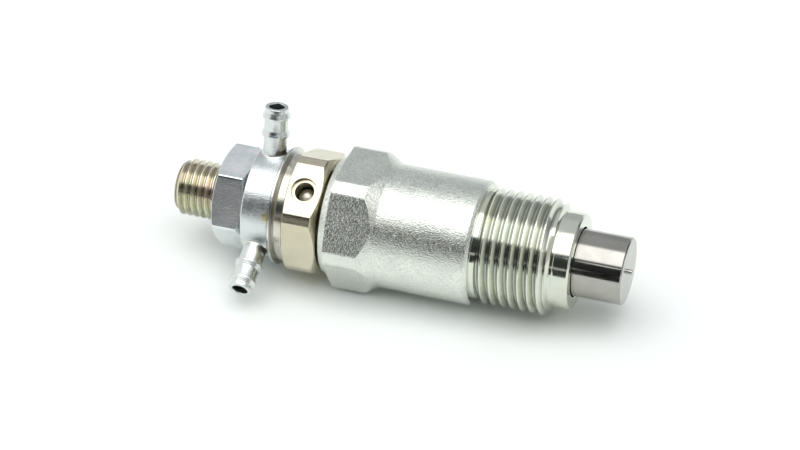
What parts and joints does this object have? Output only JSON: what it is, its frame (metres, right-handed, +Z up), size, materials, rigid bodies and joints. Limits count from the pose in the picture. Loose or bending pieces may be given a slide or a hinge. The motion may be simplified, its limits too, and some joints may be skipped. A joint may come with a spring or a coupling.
{
  "type": "fuel injector",
  "caption": "Screw-in pintle-type diesel injector with a threaded fuel inlet, a banjo leak-off ring with hose barbs, and a threaded retaining nut around its nozzle.",
  "frame": {"origin": "on the injector's axis, in the plane of the retaining nut's nose face, where the nozzle shaft comes out", "axes": "+X out of the nozzle tip along the axis, +Z up with the injector lying on one flat of its retaining nut, -Y towards the side with the plugged drilling"},
  "size_m": [0.0975, 0.0359, 0.0353],
  "materials": {
    "holder_plate": "turned steel with a warm yellowish zinc plate",
    "nut_zinc": "dull blue-grey zinc plate",
    "ring_zinc": "bright zinc plate over turned steel",
    "barb_zinc": "bright zinc plate",
    "gasket": "bright stamped washer",
    "dark_gasket": "plain steel washer with a dark left edge",
    "braze": "zinc-plated braze metal",
    "blasted_zinc": "fine-grained satin zinc plate, turned bright on the thread and nose",
    "ground_steel": "bare ground steel",
    "hardened_steel": "bare hardened and ground steel",
    "spring_steel": "oil-tempered steel"
  },
  "bodies": {
    "injector": {"holder_body": "holder_plate", "bar_filter": "hardened_steel", "ball_plug": "hardened_steel", "leak_off_nut": "nut_zinc", "leak_off_upper_gasket": "gasket", "leak_off_lower_gasket": "dark_gasket", "retaining_nut": "blasted_zinc", "distance_piece": "hardened_steel", "nozzle_body": "ground_steel", "nozzle_spring": "spring_steel", "adjusting_shim_thick": "spring_steel", "adjusting_shim_thin": "spring_steel"},
    "leak_off": {"leak_off_ring": "ring_zinc", "hose_barb_upper": "barb_zinc", "hose_barb_lower": "barb_zinc", "braze_fillet_upper": "braze", "braze_fillet_lower": "braze"},
    "needle": {"needle_valve": "hardened_steel"},
    "spindle": {"push_rod": "hardened_steel", "spring_seat": "hardened_steel"}
  },
  "joints": [
    {"name": "needle_lift", "type": "slide", "parent": "injector", "child": "needle", "axis": [-1, 0, 0], "range_m": [0, 0.0007], "stiffness_N_per_m": 500, "springref_m": -0.004},
    {"name": "push_rod_lift", "type": "slide", "parent": "injector", "child": "spindle", "axis": [-1, 0, 0], "range_m": [0, 0.0007], "deforming": ["nozzle_spring"]},
    {"name": "leak_off_swivel", "type": "hinge", "parent": "injector", "child": "leak_off", "pos_m": [-0.0661, 0, 0], "axis": [1, 0, 0], "continuous": true}
  ],
  "couplings": [
    {"joint": "push_rod_lift", "follows": "needle_lift", "ratio": 1}
  ]
}
